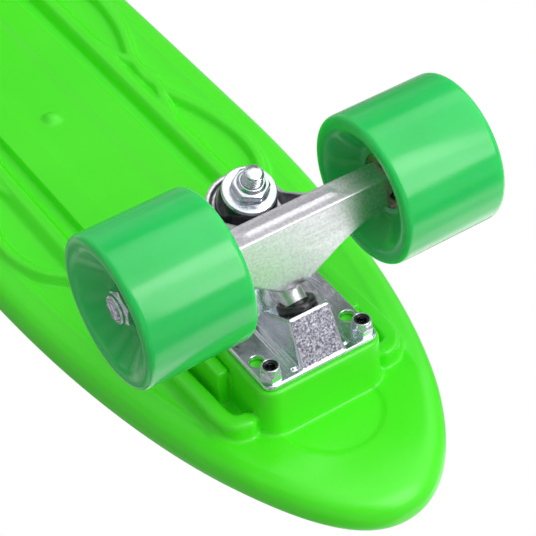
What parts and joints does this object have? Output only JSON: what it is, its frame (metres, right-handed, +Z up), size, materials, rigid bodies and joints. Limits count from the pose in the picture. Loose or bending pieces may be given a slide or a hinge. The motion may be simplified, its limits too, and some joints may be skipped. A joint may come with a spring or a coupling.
{
  "type": "cruiser skateboard",
  "caption": "Small moulded plastic cruiser skateboard with a ribbed underside, two cast steering trucks and soft translucent wheels on ball bearings.",
  "frame": {"origin": "on the floor, below the middle of the board's length and width, with the board standing on its wheels", "axes": "+X to the rounded nose, +Y to the board's left side, +Z up, away from the floor"},
  "size_m": [0.57, 0.1534, 0.144],
  "materials": {
    "deck_plastic": "smooth satin moulded polypropylene, bright lime green",
    "wheel_urethane": "glossy translucent cast polyurethane, emerald green",
    "cast_aluminium": "linished and tumbled cast aluminium",
    "zinc_plate": "bright bluish zinc plating",
    "bearing_steel": "ground bearing steel",
    "black_rubber": "smooth black rubber",
    "black_urethane": "semi gloss black urethane",
    "black_nylon": "black nylon",
    "cage_nylon": "natural nylon"
  },
  "bodies": {
    "board": {"deck": "deck_plastic", "front_baseplate": "zinc_plate", "front_pivot_cup": "black_rubber", "front_kingpin": "zinc_plate", "front_kingpin_nut": "zinc_plate", "front_road_cup_washer": "zinc_plate", "front_board_cup_washer": "zinc_plate", "front_road_bushing": "black_urethane", "front_board_bushing": "black_urethane", "front_deck_bolts": "zinc_plate", "front_deck_nuts": "zinc_plate", "front_nut_inserts": "black_nylon", "rear_baseplate": "zinc_plate", "rear_pivot_cup": "black_rubber", "rear_kingpin": "zinc_plate", "rear_kingpin_nut": "zinc_plate", "rear_road_cup_washer": "zinc_plate", "rear_board_cup_washer": "zinc_plate", "rear_road_bushing": "black_urethane", "rear_board_bushing": "black_urethane", "rear_deck_bolts": "zinc_plate", "rear_deck_nuts": "zinc_plate", "rear_nut_inserts": "black_nylon"},
    "front_truck": {"front_hanger": "cast_aluminium", "front_axle": "zinc_plate", "front_axle_nuts": "zinc_plate", "front_axle_washers": "zinc_plate", "front_inner_races": "bearing_steel"},
    "front_left_wheel": {"front_left_wheel": "wheel_urethane", "front_left_outer_races": "bearing_steel", "front_left_bearing_shields": "bearing_steel"},
    "front_left_ball_set": {"front_left_balls": "bearing_steel", "front_left_ball_cages": "cage_nylon"},
    "front_right_wheel": {"front_right_wheel": "wheel_urethane", "front_right_outer_races": "bearing_steel", "front_right_bearing_shields": "bearing_steel"},
    "front_right_ball_set": {"front_right_balls": "bearing_steel", "front_right_ball_cages": "cage_nylon"},
    "rear_truck": {"rear_hanger": "cast_aluminium", "rear_axle": "zinc_plate", "rear_axle_nuts": "zinc_plate", "rear_axle_washers": "zinc_plate", "rear_inner_races": "bearing_steel"},
    "rear_left_wheel": {"rear_left_wheel": "wheel_urethane", "rear_left_outer_races": "bearing_steel", "rear_left_bearing_shields": "bearing_steel"},
    "rear_left_ball_set": {"rear_left_balls": "bearing_steel", "rear_left_ball_cages": "cage_nylon"},
    "rear_right_wheel": {"rear_right_wheel": "wheel_urethane", "rear_right_outer_races": "bearing_steel", "rear_right_bearing_shields": "bearing_steel"},
    "rear_right_ball_set": {"rear_right_balls": "bearing_steel", "rear_right_ball_cages": "cage_nylon"}
  },
  "joints": [
    {"name": "front_steer", "type": "hinge", "parent": "board", "child": "front_truck", "pos_m": [0.2145, 0, 0.068], "axis": [0.8279, 0, 0.5608], "range_deg": [-12, 12], "stiffness_Nm_per_rad": 40, "deforming": ["front_road_bushing", "front_board_bushing"]},
    {"name": "front_left_spin", "type": "hinge", "parent": "front_truck", "child": "front_left_wheel", "pos_m": [0.211, 0.0543, 0.03], "axis": [0, 1, 0], "continuous": true},
    {"name": "front_left_cage_spin", "type": "hinge", "parent": "front_truck", "child": "front_left_ball_set", "pos_m": [0.211, 0.0543, 0.03], "axis": [0, 1, 0], "continuous": true},
    {"name": "front_right_spin", "type": "hinge", "parent": "front_truck", "child": "front_right_wheel", "pos_m": [0.211, -0.0543, 0.03], "axis": [0, 1, 0], "continuous": true},
    {"name": "front_right_cage_spin", "type": "hinge", "parent": "front_truck", "child": "front_right_ball_set", "pos_m": [0.211, -0.0543, 0.03], "axis": [0, 1, 0], "continuous": true},
    {"name": "rear_steer", "type": "hinge", "parent": "board", "child": "rear_truck", "pos_m": [-0.1765, 0, 0.068], "axis": [-0.8279, 0, 0.5608], "range_deg": [-12, 12], "stiffness_Nm_per_rad": 40, "deforming": ["rear_road_bushing", "rear_board_bushing"]},
    {"name": "rear_left_spin", "type": "hinge", "parent": "rear_truck", "child": "rear_left_wheel", "pos_m": [-0.173, 0.0543, 0.03], "axis": [0, 1, 0], "continuous": true},
    {"name": "rear_left_cage_spin", "type": "hinge", "parent": "rear_truck", "child": "rear_left_ball_set", "pos_m": [-0.173, 0.0543, 0.03], "axis": [0, 1, 0], "continuous": true},
    {"name": "rear_right_spin", "type": "hinge", "parent": "rear_truck", "child": "rear_right_wheel", "pos_m": [-0.173, -0.0543, 0.03], "axis": [0, 1, 0], "continuous": true},
    {"name": "rear_right_cage_spin", "type": "hinge", "parent": "rear_truck", "child": "rear_right_ball_set", "pos_m": [-0.173, -0.0543, 0.03], "axis": [0, 1, 0], "continuous": true}
  ],
  "couplings": [
    {"joint": "front_left_cage_spin", "follows": "front_left_spin", "ratio": 0.632},
    {"joint": "front_right_cage_spin", "follows": "front_right_spin", "ratio": 0.632},
    {"joint": "rear_left_cage_spin", "follows": "rear_left_spin", "ratio": 0.632},
    {"joint": "rear_right_cage_spin", "follows": "rear_right_spin", "ratio": 0.632}
  ]
}
